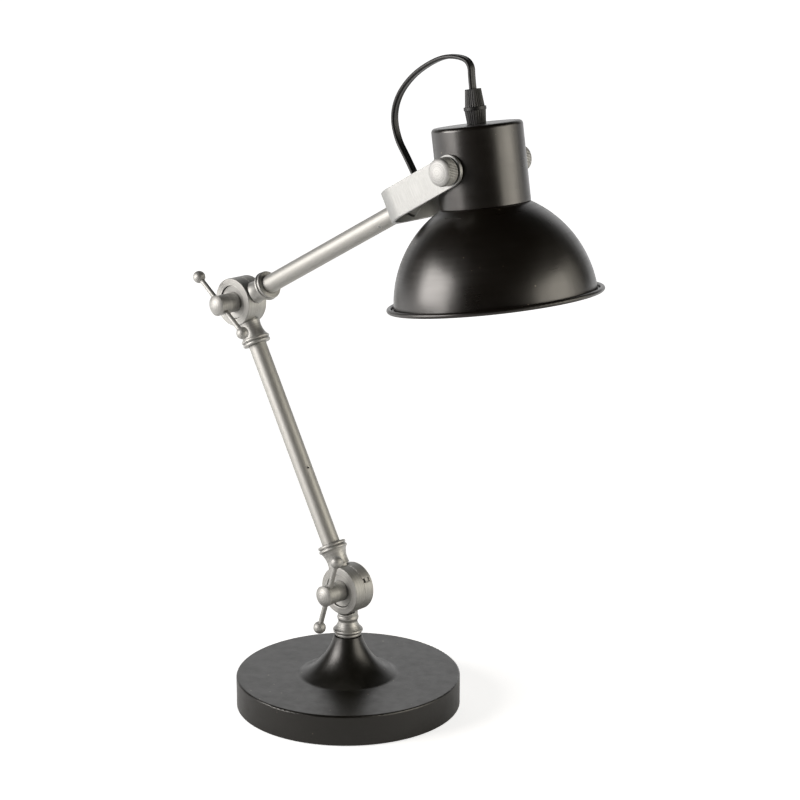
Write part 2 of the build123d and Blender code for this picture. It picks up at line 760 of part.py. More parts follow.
def make_lampholder_body():
    """Insulating body of the lampholder, with a narrower chamber round the contact."""
    sleeve_radius = socket_radius + SOCKET_SHELL_WALL
    chamber = socket_radius - SOCKET_SHELL_WALL
    body = turned(
        profile(
            (0, holder_top),
            (holder_radius - HOLDER_SHOULDER, holder_top),
            (holder_radius, holder_top - HOLDER_SHOULDER),
            (holder_radius, holder_bottom),
            (sleeve_radius, holder_bottom),
            (sleeve_radius, shell_top),
            (chamber, shell_top),
            (chamber, socket_floor),
            (0, socket_floor),
        )
    )
    return shade_frame * (body - rod(thread_radius, holder_top - thread_radius, holder_top))


def make_lampholder_shell():
    """Threaded metal sleeve that takes the lamp."""
    bottom = holder_bottom + SOCKET_SHELL_WALL
    return shade_frame * sleeve(socket_radius + SOCKET_SHELL_WALL, socket_radius, bottom, shell_top)


def make_shade_ring():
    """Ring that clamps the dome to the lampholder."""
    top = -SHADE_NECK_DROP - DOME_SHEET
    outer = holder_radius + SHADE_RING_WALL
    return shade_frame * sleeve(outer, holder_radius, top - SHADE_RING_HEIGHT, top)


def make_grip_body():
    """Ribbed lower half of the cord grip, with its flange."""
    body = fluted(
        GRIP_FOOT_DIAMETER / 2,
        GRIP_SHOULDER_DIAMETER / 2,
        SHADE_NECK_RISE,
        grip_flange,
        GRIP_RIBS,
        GRIP_RIB_DEPTH,
    )
    body += rod(GRIP_DIAMETER / 2, grip_flange, grip_joint)
    body -= rod(thread_radius, SHADE_NECK_RISE, grip_thread_top)
    return shade_frame * (body - rod(lead_radius, grip_thread_top, grip_joint))


def make_grip_cap():
    """Ribbed and tapered cap nut that squeezes the flex."""
    cap = fluted(
        GRIP_CAP_DIAMETER / 2, GRIP_TOP_DIAMETER / 2, grip_joint, grip_top, GRIP_RIBS, GRIP_RIB_DEPTH
    )
    return shade_frame * (cap - rod(lead_radius, grip_joint, grip_top - GRIP_LID))


def cord_route():
    """Points of the flex from the yoke's stud over to the cord grip."""
    turns = [
        (-51.4, -20.6),
        (-58.2, -9.8),
        (-64.4, -0.6),
        (-71.8, 9.4),
        (-75.7, 23.7),
        (-71.6, 38.0),
        (-60.3, 51.0),
        (-46.2, 60.4),
        (-30.2, 67.2),
        (-14.8, 67.2),
        (-8.9, 62.9),
    ]
    along_arm = bearing(UPPER_ARM_LEAN)
    along_grip = bearing(90 + SHADE_LEAN)
    start = [upper_knuckle + along_arm * reach for reach in (stud_end, stud_end + CORD_EXIT)]
    loop = [shade_pivot + Vector(x, 0, z) for x, z in turns]
    end = [shade_pivot + along_grip * rise for rise in (grip_top + CORD_ENTRY, grip_top)]
    return start + loop + end


def bend_radii(points):
    """Bend radius at each inner point, from its shorter run and its turn."""
    radii = []
    for before, corner, after in zip(points, points[1:], points[2:]):
        arriving = corner - before
        leaving = after - corner
        turn = arriving.get_angle(leaving)
        shorter = min(arriving.length, leaving.length)
        radii.append(0.45 * shorter / tan(radians(turn) / 2))
    return radii


def make_cord_loop():
    """Flat twin flex in one loop from the yoke to the cord grip."""
    points = cord_route()
    radii = bend_radii(points)
    path = FilletPolyline(*points, radius=radii)
    start = Plane(origin=points[0], x_dir=(0, 1, 0), z_dir=path % 0)
    section = start * SlotOverall(FLEX_WIDTH, FLEX_THICKNESS)
    cord = sweep(section, path=path)
    print("flex bends", [round(radius, 1) for radius in radii])
    share = cord.volume / (section.area * path.length)
    print("flex length", round(path.length, 1), "volume share", round(share, 5))
    return cord


# Knuckle pieces that are cut against one another
collar_tenon = make_tenon(collar_frame, 1)
lower_tenon = make_tenon(lower_frame, -1)
mid_tenon = make_tenon(mid_frame, -1)
upper_tenon = make_tenon(upper_frame, 1)

lower_rear = make_rear_cheek(lower_knuckle, LOWER_TRAVEL)
lower_rear -= collar_tenon + lead_hole(collar_frame)
lower_rear -= index_slot(SLOT_DEEP, 0, SLOT_STEP)
lower_rear -= index_slot(SLOT_SHALLOW, SLOT_STEP, SLOT_LENGTH)
lower_front = make_front_cheek(lower_knuckle)
lower_front -= lower_tenon + lead_hole(lower_frame)
upper_front = make_front_cheek(upper_knuckle)
upper_front -= mid_tenon + lead_hole(mid_frame)
upper_rear = make_rear_cheek(upper_knuckle, (-UPPER_TRAVEL[1], -UPPER_TRAVEL[0]))
upper_rear -= upper_tenon + lead_hole(upper_frame)

collar = saddled(make_collar_blank(), lower_knuckle, 1) + collar_tenon
coupling = make_coupling_blank()
lower_coupling = saddled(lower_frame * coupling, lower_knuckle, -1) + lower_tenon
mid_coupling = saddled(mid_frame * coupling, upper_knuckle, -1) + mid_tenon
upper_coupling = saddled(upper_frame * coupling, upper_knuckle, 1) + upper_tenon

stem_nut = stem_seat - STEM_WASHER_STOCK - STEM_NUT_HEIGHT
nipple_bottom = holder_top - thread_radius + EASY_GAP

nodes = {
    "base_shell": make_base_shell(),
    "base_weight": make_base_weight(),
    "base_pad": rod(base_radius - BASE_WALL - SIDE_GAP, 0, PAD_THICKNESS),
    "inlet_bushing": make_inlet_bushing(),
    "stem_nipple": sleeve(thread_radius, lead_radius, stem_bottom, stem_top),
    "stem_washer": sleeve(NUT_WIDTH / 2, thread_radius, stem_seat - STEM_WASHER_STOCK, stem_seat),
    "stem_nut": hexagon_nut(stem_nut, STEM_NUT_HEIGHT),
    "seat_ring": make_seat_ring(),
    "base_collar": collar,
    "lower_rear_cheek": lower_rear,
    "lower_front_cheek": lower_front,
    "lower_coupling": lower_coupling,
    "lower_arm_tube": make_lower_tube(),
    "mid_coupling": mid_coupling,
    "upper_front_cheek": upper_front,
    "upper_rear_cheek": upper_rear,
    "upper_coupling": upper_coupling,
    "upper_arm_tube": make_upper_tube(),
    "yoke": make_yoke(),
    "yoke_stud": make_yoke_stud(),
    "yoke_ring": upper_frame * hexagon_nut(yoke_inside, YOKE_NUT_HEIGHT),
    "yoke_grub_screw": grub_way(tube_radius),
    "shade_neck": make_shade_neck(),
    "shade_dome": make_shade_dome(),
    "shade_ring": make_shade_ring(),
    "lampholder_body": make_lampholder_body(),
    "lampholder_shell": make_lampholder_shell(),
    "lampholder_contact": shade_frame * rod(CONTACT_DIAMETER / 2, contact_bottom, socket_floor),
    "grip_nipple": shade_frame * sleeve(thread_radius, lead_radius, nipple_bottom, grip_thread_top),
    "grip_nut": shade_frame * hexagon_nut(holder_top, GRIP_NUT_HEIGHT),
    "grip_body": make_grip_body(),
    "grip_cap": make_grip_cap(),
    "cord_loop": make_cord_loop(),
}

for place, knuckle, frame in (
    ("lower", lower_knuckle, lower_key_frame),
    ("upper", upper_knuckle, upper_key_frame),
):
    nodes[f"{place}_stop_pin"] = side_frame(knuckle, -1) * stop_pin(-STOP_PIN_REACH)
    nodes[f"{place}_friction_washer"] = make_friction_washer(knuckle)
    nodes[f"{place}_cup_washer"] = make_cup_washer(knuckle)
    nodes[f"{place}_key_bolt"] = make_key_bolt(frame)
    nodes[f"{place}_key_bar"] = make_key_bar(frame)
    nodes[f"{place}_key_ball_top"] = make_key_ball(frame, 1)
    nodes[f"{place}_key_ball_foot"] = make_key_ball(frame, -1)

for place, side in (("near", -1), ("far", 1)):
    nodes[f"{place}_pivot_bush"] = make_pivot_bush(side)
    nodes[f"{place}_thumb_screw"] = make_thumb_screw(side)
    nodes[f"{place}_thumb_washer"] = make_thumb_washer(side)

os.makedirs("parts", exist_ok=True)
for name, solid in nodes.items():
    export_step(solid, f"parts/{name}.step")
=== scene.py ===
"""Jointed desk lamp with a black shade and base and satin nickel arms, on a pale studio floor."""

import logging
from abc import ABC, abstractmethod
from dataclasses import dataclass
from enum import Enum
from math import cos, pi, radians, sin, tau

import bmesh
import bpy
from mathutils import Euler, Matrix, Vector

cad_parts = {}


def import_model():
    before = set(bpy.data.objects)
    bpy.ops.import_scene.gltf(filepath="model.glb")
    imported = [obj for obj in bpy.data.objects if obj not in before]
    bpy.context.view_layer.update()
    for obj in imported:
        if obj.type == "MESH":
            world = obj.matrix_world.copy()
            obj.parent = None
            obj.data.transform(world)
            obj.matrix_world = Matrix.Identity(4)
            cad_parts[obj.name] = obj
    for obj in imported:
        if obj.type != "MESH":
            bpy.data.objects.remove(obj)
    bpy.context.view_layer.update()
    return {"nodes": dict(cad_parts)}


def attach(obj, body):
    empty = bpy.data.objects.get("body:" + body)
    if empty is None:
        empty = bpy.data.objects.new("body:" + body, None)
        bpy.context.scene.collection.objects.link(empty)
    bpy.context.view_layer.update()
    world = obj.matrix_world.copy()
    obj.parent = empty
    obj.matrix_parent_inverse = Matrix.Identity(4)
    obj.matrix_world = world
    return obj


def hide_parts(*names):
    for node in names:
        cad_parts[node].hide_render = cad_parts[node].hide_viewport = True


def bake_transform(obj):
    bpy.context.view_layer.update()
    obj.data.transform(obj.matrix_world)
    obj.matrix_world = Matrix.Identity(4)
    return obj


LOG = logging.getLogger("desk_lamp")

Point = tuple[float, float, float]
Colour = tuple[float, float, float]
Span = tuple[float, float]

# Ends of a ramp, mean of a noise mask, and the least angle of a sharp edge.
RISE: Span = (0.0, 1.0)
FALL: Span = (1.0, 0.0)
MASK_MEAN = 0.5
SHARP_ANGLE = radians(50)

# Colours, and the roughness of each kind of nickel.
WHITE = (1.0, 1.0, 1.0, 1.0)
NICKEL: Colour = (0.48, 0.477, 0.459)
TUBE_NICKEL: Colour = (0.50, 0.495, 0.472)
THUMB_NICKEL: Colour = (0.52, 0.52, 0.51)
YOKE_NICKEL: Colour = (0.405, 0.409, 0.401)
IRON: Colour = (0.10, 0.10, 0.10)
FELT: Colour = (0.02, 0.02, 0.02)
FIBRE: Colour = (0.12, 0.06, 0.04)
PLASTIC: Colour = (0.012, 0.012, 0.012)
INSULATOR: Colour = (0.72, 0.70, 0.64)
BRASS: Colour = (0.75, 0.55, 0.25)
SATIN = 0.50
TURNED = 0.58
BRUSHED = 0.54
BLASTED = 0.66

# Direction and places of the hinges in metres, and leans in degrees from +X towards +Z.
HINGE: Point = (0.0, 1.0, 0.0)
LOWER_HINGE: Point = (0.0, 0.0, 0.0864)
UPPER_HINGE: Point = (-0.10397, 0.0, 0.27949)
SHADE_HINGE: Point = (0.12022, 0.0, 0.40121)
LOWER_LEAN = 118.3
UPPER_LEAN = 28.5
SHADE_LEAN = 98.8


class Side(Enum):
    """Sides of the head, by the sign of Y."""

    NEAR = -1
    FAR = 1

    @property
    def label(self) -> str:
        """Give the word for this side in the names of nodes and bodies."""
        return self.name.lower()


@dataclass
class NodeSheet:
    """Short-hand for adding and joining nodes in one node tree."""

    tree: bpy.types.NodeTree

    def add(self, kind: str, **settings: object) -> bpy.types.Node:
        """Add one node.

        Args:
            kind: Node type without its "ShaderNode" prefix.
            settings: Node properties to set.

        Returns:
            The new node.
        """
        node = self.tree.nodes.new("ShaderNode" + kind)
        for name, value in settings.items():
            setattr(node, name, value)
        return node

    def join(self, source: bpy.types.NodeSocket, target: bpy.types.NodeSocket) -> None:
        """Link an output socket to an input socket.

        Args:
            source: Output socket.
            target: Input socket.
        """
        self.tree.links.new(source, target)

    def math(self, operation: str, *values: object) -> bpy.types.NodeSocket:
        """Add a math node.

        Args:
            operation: Math operation name.
            values: Sockets or numbers for its inputs.

        Returns:
            The result socket.
        """
        node = self.add("Math", operation=operation)
        for value, socket in zip(values, node.inputs):
            self.feed(value, socket)
        return node.outputs[0]

    def mix(self, factor: bpy.types.NodeSocket, first: object, second: object) -> bpy.types.NodeSocket:
        """Add a node that mixes two colours.

        Args:
            factor: Share of the second colour.
            first: Socket or colour where the factor is 0.
            second: Socket or colour where the factor is 1.

        Returns:
            The mixed colour.
        """
        node = self.add("Mix", data_type="RGBA")
        self.join(factor, node.inputs["Factor"])
        for value, title in ((first, "A"), (second, "B")):
            socket = next(each for each in node.inputs if each.name == title and each.type == "RGBA")
            self.feed((*value, 1.0) if isinstance(value, tuple) else value, socket)
        return next(each for each in node.outputs if each.type == "RGBA")

    def ramp(self, value: bpy.types.NodeSocket, source: Span, target: Span) -> bpy.types.NodeSocket:
        """Map one range smoothly to another.

        Args:
            value: The value to map.
            source: Where the ramp starts and stops.
            target: What it gives there.

        Returns:
            The mapped value.
        """
        node = self.add("MapRange", interpolation_type="SMOOTHSTEP")
        self.join(value, node.inputs["Value"])
        limits = zip(("From Min", "From Max", "To Min", "To Max"), source + target)
        for title, limit in limits:
            node.inputs[title].default_value = limit
        return node.outputs["Result"]

    def group(self, tree: bpy.types.NodeTree, **values: object) -> bpy.types.Node:
        """Add a shared effect.

        Args:
            tree: The effect's node group.
            values: Constants for its inputs.

        Returns:
            The group node.
        """
        node = self.add("Group", node_tree=tree)
        for title, value in values.items():
            node.inputs[title].default_value = value
        return node

    def feed(self, value: object, socket: bpy.types.NodeSocket) -> None:
        """Link a socket or set a constant on an input.

        Args:
            value: Output socket, number or colour.
            socket: Input to feed.
        """
        if isinstance(value, bpy.types.NodeSocket):
            self.join(value, socket)
        else:
            socket.default_value = value


def new_group(name: str, inputs: dict[str, tuple[str, object]], outputs: dict[str, str]) -> tuple:
    """Make a shader node group with its sockets.

    Args:
        name: Group name.
        inputs: Input names to (socket type, default value).
        outputs: Output names to socket type.

    Returns:
        The group, its sheet, its input node and its output node.
    """
    group = bpy.data.node_groups.new(name, "ShaderNodeTree")
    for title, (kind, value) in inputs.items():
        socket = group.interface.new_socket(title, in_out="INPUT", socket_type="NodeSocket" + kind)
        socket.default_value = value
    for title, kind in outputs.items():
        group.interface.new_socket(title, in_out="OUTPUT", socket_type="NodeSocket" + kind)
    sheet = NodeSheet(group)
    entry = group.nodes.new("NodeGroupInput")
    leave = group.nodes.new("NodeGroupOutput")
    return group, sheet, entry, leave


@dataclass
class Effects:
    """Shared surface effects, made once as shader node groups."""

    fine_detail: float = 3.0
    broad_detail: float = 4.0
    ring_detail: float = 2.0
    bump_depth: float = 0.0002
    edge_samples: int = 4
    edge_turn: Span = (0.80, 0.99)

    def __post_init__(self) -> None:
        """Build every group."""
        self.grain = self._grain()
        self.rings = self._rings()
        self.specks = self._specks()

    def _grain(self) -> bpy.types.NodeTree:
        """Fine speckle of a sprayed or blasted surface with softened edges.

        Returns:
            Group with a value, a mottled value, a mask of the edges and a bumped normal.
        """
        group, sheet, entry, leave = new_group(
            "fine_grain",
            {
                "Scale": ("Float", 2200.0),
                "Height": ("Float", 0.05),
                "Mottle": ("Float", 30.0),
                "Round": ("Float", 0.0004),
            },
            {"Value": "Float", "Patches": "Float", "Edges": "Float", "Normal": "Vector"},
        )
        place = sheet.add("TexCoord")
        fine = sheet.add("TexNoise")
        fine.inputs["Detail"].default_value = self.fine_detail
        broad = sheet.add("TexNoise")
        broad.inputs["Detail"].default_value = self.broad_detail
        for noise, size in ((fine, "Scale"), (broad, "Mottle")):
            sheet.join(place.outputs["Object"], noise.inputs["Vector"])
            sheet.join(entry.outputs[size], noise.inputs["Scale"])
        softened = sheet.add("Bevel", samples=self.edge_samples)
        sheet.join(entry.outputs["Round"], softened.inputs["Radius"])
        sharp = sheet.add("NewGeometry")
        facing = sheet.add("VectorMath", operation="DOT_PRODUCT")
        sheet.join(softened.outputs["Normal"], facing.inputs[0])
        sheet.join(sharp.outputs["Normal"], facing.inputs[1])
        sheet.join(sheet.ramp(facing.outputs["Value"], self.edge_turn, FALL), leave.inputs["Edges"])
        bump = sheet.add("Bump")
        bump.inputs["Distance"].default_value = self.bump_depth
        sheet.join(softened.outputs["Normal"], bump.inputs["Normal"])
        sheet.join(entry.outputs["Height"], bump.inputs["Strength"])
        sheet.join(fine.outputs["Fac"], bump.inputs["Height"])
        sheet.join(fine.outputs["Fac"], leave.inputs["Value"])
        sheet.join(broad.outputs["Fac"], leave.inputs["Patches"])
        sheet.join(bump.outputs["Normal"], leave.inputs["Normal"])
        return group

    def _rings(self) -> bpy.types.NodeTree:
        """Turning or spinning marks that run round an axis.

        Returns:
            Group with a mask of fine rings.
        """
        group, sheet, entry, leave = new_group(
            "turned_rings",
            {
                "Axis": ("Vector", (0.0, 0.0, 1.0)),
                "Origin": ("Vector", (0.0, 0.0, 0.0)),
                "Scale": ("Float", 1500.0),
            },
            {"Mask": "Float"},
        )
        place = sheet.add("TexCoord")
        offset = sheet.add("VectorMath", operation="SUBTRACT")
        sheet.join(place.outputs["Object"], offset.inputs[0])
        sheet.join(entry.outputs["Origin"], offset.inputs[1])
        along = sheet.add("VectorMath", operation="DOT_PRODUCT")
        sheet.join(offset.outputs["Vector"], along.inputs[0])
        sheet.join(entry.outputs["Axis"], along.inputs[1])
        across = sheet.add("VectorMath", operation="CROSS_PRODUCT")
        sheet.join(offset.outputs["Vector"], across.inputs[0])
        sheet.join(entry.outputs["Axis"], across.inputs[1])
        reach = sheet.add("VectorMath", operation="LENGTH")
        sheet.join(across.outputs["Vector"], reach.inputs[0])
        pair = sheet.add("CombineXYZ")
        sheet.join(along.outputs["Value"], pair.inputs["X"])
        sheet.join(reach.outputs["Value"], pair.inputs["Y"])
        noise = sheet.add("TexNoise")
        noise.inputs["Detail"].default_value = self.ring_detail
        sheet.join(pair.outputs["Vector"], noise.inputs["Vector"])
        sheet.join(entry.outputs["Scale"], noise.inputs["Scale"])
        sheet.join(noise.outputs["Fac"], leave.inputs["Mask"])
        return group

    def _specks(self) -> bpy.types.NodeTree:
        """Scattered specks of dust.

        Returns:
            Group with a mask of small round dots.
        """
        group, sheet, entry, leave = new_group(
            "dust_specks",
            {"Scale": ("Float", 260.0), "Share": ("Float", 0.05), "Size": ("Float", 0.14)},
            {"Mask": "Float"},
        )
        place = sheet.add("TexCoord")
        cells = sheet.add("TexVoronoi")
        sheet.join(place.outputs["Object"], cells.inputs["Vector"])
        sheet.join(entry.outputs["Scale"], cells.inputs["Scale"])
        parts = sheet.add("SeparateColor")
        sheet.join(cells.outputs["Color"], parts.inputs["Color"])
        chosen = sheet.math("LESS_THAN", parts.outputs["Red"], entry.outputs["Share"])
        dot = sheet.math("LESS_THAN", cells.outputs["Distance"], entry.outputs["Size"])
        faded = sheet.math("MULTIPLY", dot, parts.outputs["Green"])
        sheet.join(sheet.math("MULTIPLY", chosen, faded), leave.inputs["Mask"])
        return group


@dataclass(frozen=True)
class Finish(ABC):
    """Common part of every finish: a named material with one Principled node."""

    name: str
    colour: Colour
    roughness: float

    @abstractmethod
    def build(self, effects: Effects) -> bpy.types.Material:
        """Make the material.

        Args:
            effects: Shared effects.

        Returns:
            The material.
        """

    def start(self) -> tuple[bpy.types.Material, NodeSheet, bpy.types.Node]:
        """Make the material and its shader.

        Returns:
            The material, its sheet and its Principled node.
        """
        material = bpy.data.materials.new(self.name)
        material.use_nodes = True
        sheet = NodeSheet(material.node_tree)
        shader = material.node_tree.nodes["Principled BSDF"]
        shader.inputs["Base Color"].default_value = (*self.colour, 1.0)
        shader.inputs["Roughness"].default_value = self.roughness
        return material, sheet, shader

    def shaded(self, share: float) -> Colour:
        """Give the finish's colour at a share of its brightness."""
        return tuple(share * part for part in self.colour)


@dataclass(frozen=True)
class SatinPaint(Finish):
    """Black stove enamel with a sprayed texture, spinning marks, a little dust and painted highlights along
    worn edges.
    """

    axis: Point = (0.0, 0.0, 1.0)
    origin: Point = (0.0, 0.0, 0.0)
    grain: float = 1500.0
    height: float = 0.10
    mottle: float = 40.0
    marks: float = 0.06
    mark_scale: float = 700.0
    blotch: float = 0.05
    sprayed: float = 1.6
    shine: float = 0.95
    tint: Colour = (1.0, 0.985, 0.97)
    dust: Colour = (0.20, 0.17, 0.12)
    dust_share: float = 0.10
    # Share of the colour for the edges: a painted highlight along them, partly rubbed paint.
    edge_highlight_and_rub: float = 6.0

    def build(self, effects: Effects) -> bpy.types.Material:
        """Make the material.

        Args:
            effects: Shared effects.

        Returns:
            The material.
        """
        material, sheet, shader = self.start()
        shader.inputs["Specular IOR Level"].default_value = self.shine
        shader.inputs["Specular Tint"].default_value = (*self.tint, 1.0)
        grain = sheet.group(effects.grain, Scale=self.grain, Height=self.height, Mottle=self.mottle)
        rings = sheet.group(effects.rings, Axis=self.axis, Origin=self.origin, Scale=self.mark_scale)
        specks = sheet.group(effects.specks, Share=self.dust_share)
        sheet.join(grain.outputs["Normal"], shader.inputs["Normal"])
        uneven = sheet.math("MULTIPLY", grain.outputs["Patches"], rings.outputs["Mask"])
        lowest = self.roughness - self.marks - self.blotch
        spun = sheet.math("MULTIPLY_ADD", uneven, self.marks / MASK_MEAN**2, lowest)
        spread = sheet.math("MULTIPLY_ADD", grain.outputs["Patches"], self.blotch / MASK_MEAN, spun)
        sheet.join(spread, shader.inputs["Roughness"])
        speckled = sheet.mix(grain.outputs["Value"], self.colour, self.shaded(self.sprayed))
        # Painted highlight: edges and corners turn a lighter grey, standing in for light caught on the
        # rounded edges, with some rubbing of the paint.
        lit_worn_edges = sheet.mix(grain.outputs["Edges"], speckled, self.shaded(self.edge_highlight_and_rub))
        dusty = sheet.mix(specks.outputs["Mask"], lit_worn_edges, self.dust)
        sheet.join(dusty, shader.inputs["Base Color"])
        return material


@dataclass(frozen=True)
class SatinNickel(Finish):
    """Satin plate with fine turning marks round the piece's axis, painted shade in its crevices and knurl
    grooves, and painted highlights along worn edges.
    """

    axis: Point = (0.0, 0.0, 1.0)
    origin: Point = (0.0, 0.0, 0.0)
    marks: float = 0.10
    mark_scale: float = 1800.0
    contrast: float = 0.22
    uneven: Span = (0.12, 0.40)
    metal: float = 0.9
    grain: float = 3200.0
    height: float = 0.04
    # Reach and samples of the painted shade in crevices, the ramp over which it fades out, and the share of
    # the colour it darkens to.
    crevice: float = 0.0016
    crevice_samples: int = 8
    clear: Span = (0.35, 0.85)
    painted_shade: float = 0.35
    softening: float = 0.0008
    # Share of the colour for the edges: a painted highlight along them, partly polished wear.
    edge_highlight_and_polish: float = 1.6
    ridges: int = 0
    groove_wave: Span = (-0.2, 0.6)
    band_tilt: Span = (0.25, 0.60)

    def build(self, effects: Effects) -> bpy.types.Material:
        """Make the material.

        Args:
            effects: Shared effects.

        Returns:
            The material.
        """
        material, sheet, shader = self.start()
        shader.inputs["Metallic"].default_value = self.metal
        rings = sheet.group(effects.rings, Axis=self.axis, Origin=self.origin, Scale=self.mark_scale)
        grain = sheet.group(effects.grain, Scale=self.grain, Height=self.height, Round=self.softening)
        sheet.join(grain.outputs["Normal"], shader.inputs["Normal"])
        lowest = self.roughness - self.marks
        spread = sheet.math("MULTIPLY_ADD", rings.outputs["Mask"], self.marks / MASK_MEAN, lowest)
        sheet.join(spread, shader.inputs["Roughness"])
        both = sheet.math("MULTIPLY", grain.outputs["Value"], rings.outputs["Mask"])
        dull = sheet.ramp(both, self.uneven, RISE)
        tinted = sheet.mix(dull, self.shaded(1 + self.contrast), self.shaded(1 - self.contrast))
        # Painted highlight: edges and corners turn a brighter copy of the nickel, standing in for light
        # caught on the rounded edges, with some polishing wear.
        lit_worn_edges = sheet.mix(grain.outputs["Edges"], tinted, self.shaded(self.edge_highlight_and_polish))
        bare = self.grooved(sheet, lit_worn_edges) if self.ridges else lit_worn_edges
        # Painted shade: the colour darkens towards a dark copy of the nickel in crevices and recesses, where
        # the occlusion finds little open sky.
        open_sky = sheet.add("AmbientOcclusion", samples=self.crevice_samples)
        open_sky.inputs["Distance"].default_value = self.crevice
        unshaded = sheet.ramp(open_sky.outputs["AO"], self.clear, RISE)
        sheet.join(sheet.mix(unshaded, self.shaded(self.painted_shade), bare), shader.inputs["Base Color"])
        return material

    def grooved(self, sheet: NodeSheet, colour: bpy.types.NodeSocket) -> bpy.types.NodeSocket:
        """Paint shade into the grooves between the ridges of a knurled band round a hinge axis.

        Args:
            sheet: Sheet to add the nodes to.
            colour: Colour of the ridges.

        Returns:
            The colour with painted shade in its grooves.
        """
        place = sheet.add("TexCoord")
        offset = sheet.add("VectorMath", operation="SUBTRACT")
        offset.inputs[1].default_value = self.origin
        sheet.join(place.outputs["Object"], offset.inputs[0])
        parts = sheet.add("SeparateXYZ")
        sheet.join(offset.outputs["Vector"], parts.inputs[0])
        turn = sheet.math("ARCTAN2", parts.outputs["Z"], parts.outputs["X"])
        wave = sheet.math("SINE", sheet.math("MULTIPLY", turn, float(self.ridges)))
        skin = sheet.add("NewGeometry")
        level = sheet.add("VectorMath", operation="DOT_PRODUCT")
        level.inputs[1].default_value = self.axis
        sheet.join(skin.outputs["Normal"], level.inputs[0])
        band = sheet.ramp(sheet.math("ABSOLUTE", level.outputs["Value"]), self.band_tilt, FALL)
        # Painted shade: the grooves between the ridges darken, only on the band where the surface faces
        # sideways.
        groove = sheet.math("MULTIPLY", sheet.ramp(wave, self.groove_wave, RISE), band)
        return sheet.mix(groove, colour, self.shaded(self.painted_shade))


@dataclass(frozen=True)
class MattSolid(Finish):
    """Plain moulded, cast or fibrous surface with a grain of its own scale."""

    grain: float = 1500.0
    height: float = 0.15
    patch: float = 0.7
    metal: float = 0.0
    sheen: float = 0.0

    def build(self, effects: Effects) -> bpy.types.Material:
        """Make the material.

        Args:
            effects: Shared effects.

        Returns:
            The material.
        """
        material, sheet, shader = self.start()
        shader.inputs["Metallic"].default_value = self.metal
        shader.inputs["Sheen Weight"].default_value = self.sheen
        grain = sheet.group(effects.grain, Scale=self.grain, Height=self.height)
        sheet.join(grain.outputs["Normal"], shader.inputs["Normal"])
        mottled = sheet.mix(grain.outputs["Patches"], self.colour, self.shaded(self.patch))
        sheet.join(mottled, shader.inputs["Base Color"])
        return material


def skin(shape: bmesh.types.BMesh, rings: list[list[bmesh.types.BMVert]]) -> None:
    """Join closed rows of points with faces.

    Args:
        shape: The mesh under work.
        rings: The rows in order, with the same number of points each.
    """
    for lower, upper in zip(rings, rings[1:]):
        for index in range(len(lower)):
            after = (index + 1) % len(lower)
            shape.faces.new((lower[index], lower[after], upper[after], upper[index]))


def as_piece(shape: bmesh.types.BMesh, name: str, material: bpy.types.Material) -> bpy.types.Object:
    """Turn a mesh under work into a piece of the scene.

    Args:
        shape: The mesh, which is freed here.
        name: Name of the piece.
        material: Finish of the piece.

    Returns:
        The piece.
    """
    bmesh.ops.recalc_face_normals(shape, faces=shape.faces)
    mesh = bpy.data.meshes.new(name)
    shape.to_mesh(mesh)
    shape.free()
    mesh.shade_smooth()
    mesh.set_sharp_from_angle(angle=SHARP_ANGLE)
    mesh.materials.append(material)
    piece = bpy.data.objects.new(name, mesh)
    bpy.context.scene.collection.objects.link(piece)
    return piece


